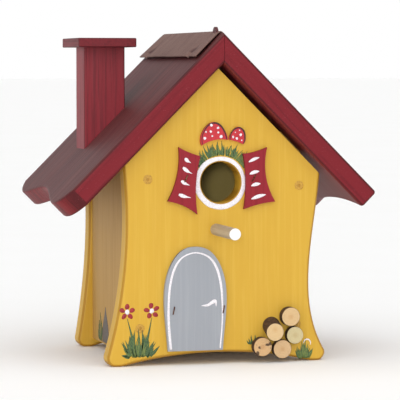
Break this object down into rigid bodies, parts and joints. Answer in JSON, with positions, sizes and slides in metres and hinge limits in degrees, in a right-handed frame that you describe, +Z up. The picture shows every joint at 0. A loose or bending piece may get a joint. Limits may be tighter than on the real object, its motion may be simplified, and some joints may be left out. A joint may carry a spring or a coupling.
{
  "type": "birdhouse",
  "caption": "Painted wooden birdhouse with wavy gabled panels, a round entrance, a perch and a chimney; its roof opens on a soft ridge strip.",
  "frame": {"origin": "middle of the object's overall footprint, on the ground its feet stand on", "axes": "+Z up, +Y from the entrance to the back, +X to the right of someone facing the entrance"},
  "size_m": [0.2862, 0.252, 0.2864],
  "materials": {
    "yellow_wood": "hand-painted, satin",
    "wall_wood": "hand-painted, satin",
    "bare_wood": "planed, unpainted",
    "yellow_screw": "painted over",
    "red_wood": "hand-painted, satin",
    "red_strip": "painted over",
    "red_tab": "painted over",
    "red_ply": "hand-painted plywood",
    "grey_ply": "hand-painted plywood",
    "toadstool_red": "hand-painted plywood",
    "white_wood": "hand-painted dowel",
    "branch": "sawn branch with its bark",
    "bare_steel": "bright wire",
    "rusty_steel": "lightly rusted wire"
  },
  "bodies": {
    "house": {"front_panel": "yellow_wood", "rear_panel": "yellow_wood", "left_wall": "wall_wood", "right_wall": "wall_wood", "floor_board": "bare_wood", "front_screws": "yellow_screw", "rear_screws": "yellow_screw", "floor_nails": "bare_steel", "roof_left": "red_wood", "strip_left": "red_strip", "strip_left_staples": "bare_steel", "roof_nails": "bare_steel", "ridge_tab": "red_tab", "chimney_shaft": "red_wood", "chimney_cap": "red_wood", "chimney_screw": "bare_steel", "cap_nails": "bare_steel", "perch": "white_wood", "shutter_left": "red_ply", "shutter_right": "red_ply", "shutter_staples": "rusty_steel", "door": "grey_ply", "door_staples": "rusty_steel", "toadstool_big": "toadstool_red", "toadstool_small": "toadstool_red", "log_1": "branch", "log_2": "branch", "log_3": "branch", "log_4": "branch", "log_5": "branch"},
    "lifting_roof": {"roof_right": "red_wood", "strip_right": "red_strip", "strip_right_staples": "bare_steel"}
  },
  "joints": [
    {"name": "roof_hinge", "type": "hinge", "parent": "house", "child": "lifting_roof", "pos_m": [-0.00172, 0.021, 0.28241], "axis": [0, -1, 0], "range_deg": [0, 130]}
  ]
}
